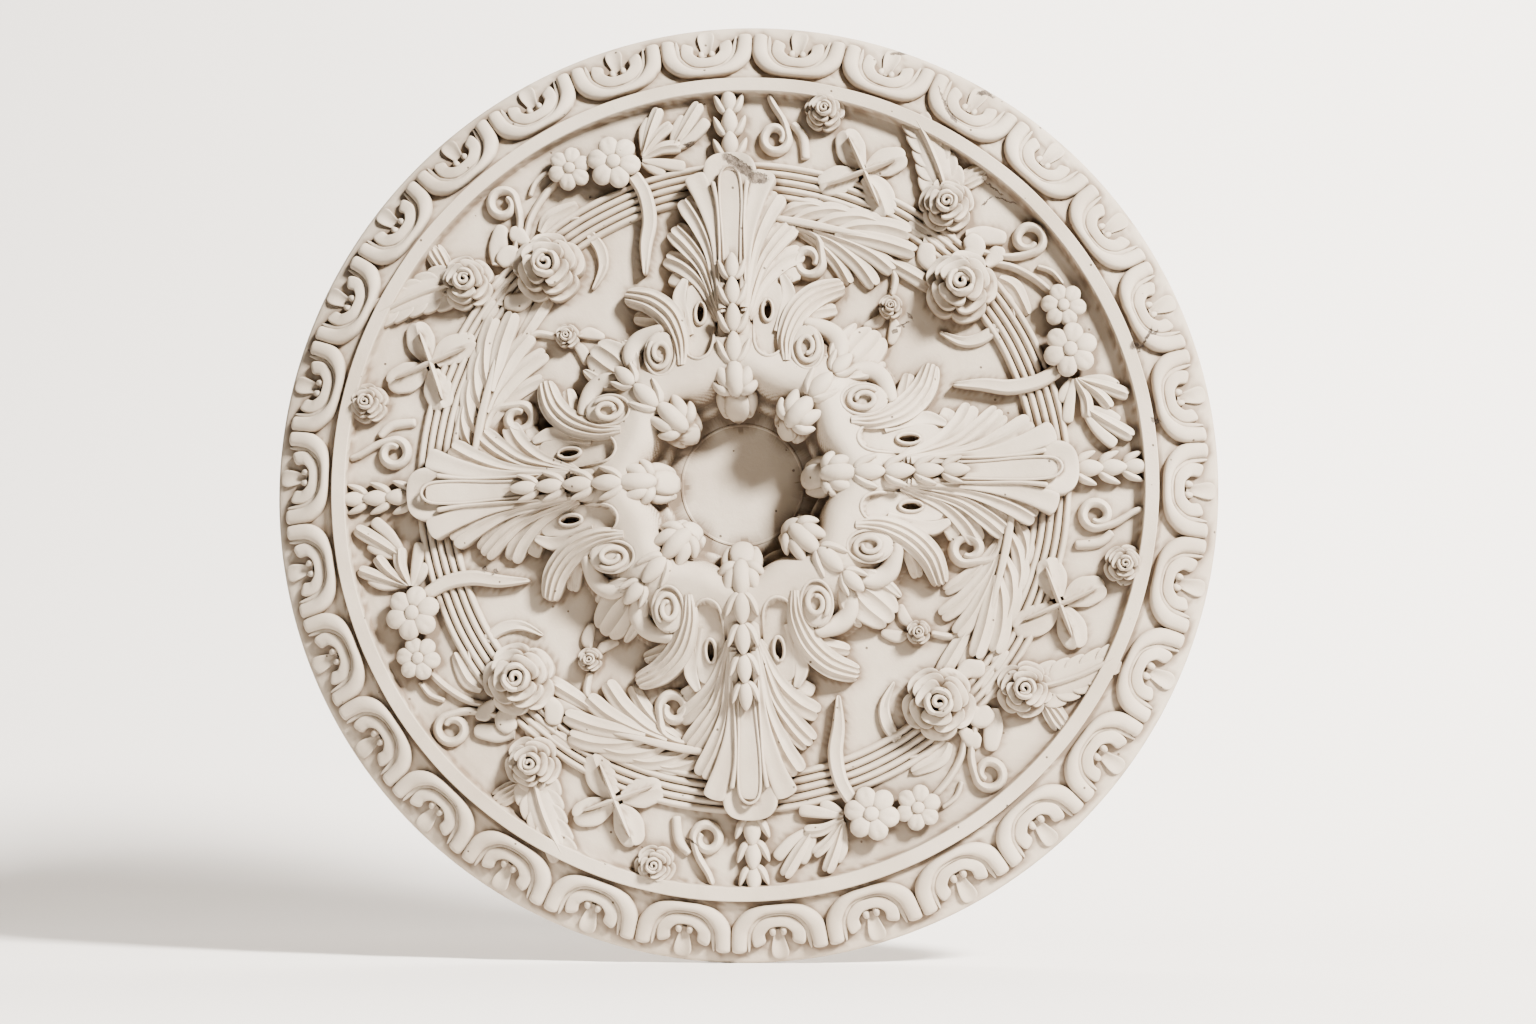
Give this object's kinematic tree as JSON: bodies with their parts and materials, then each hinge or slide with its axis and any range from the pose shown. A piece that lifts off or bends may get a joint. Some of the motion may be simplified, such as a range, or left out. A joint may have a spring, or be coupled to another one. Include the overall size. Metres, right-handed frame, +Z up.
{
  "type": "ceiling rose",
  "caption": "Round cast plaster ceiling rose with a deep centre recess, scrolling leaves, flowers, a reeded ring and a leafy rim.",
  "frame": {"origin": "middle of the flat back, where the rose meets its ceiling", "axes": "+Y out of the back, towards the ceiling; -Y out of the ornament; +Z up as the rose stands in the picture"},
  "size_m": [0.9, 0.0822, 0.9],
  "materials": {
    "plaster": "matt, unpainted, warm off-white cast plaster"
  },
  "bodies": {
    "root": {"ceiling_rose": "plaster"}
  },
  "joints": []
}
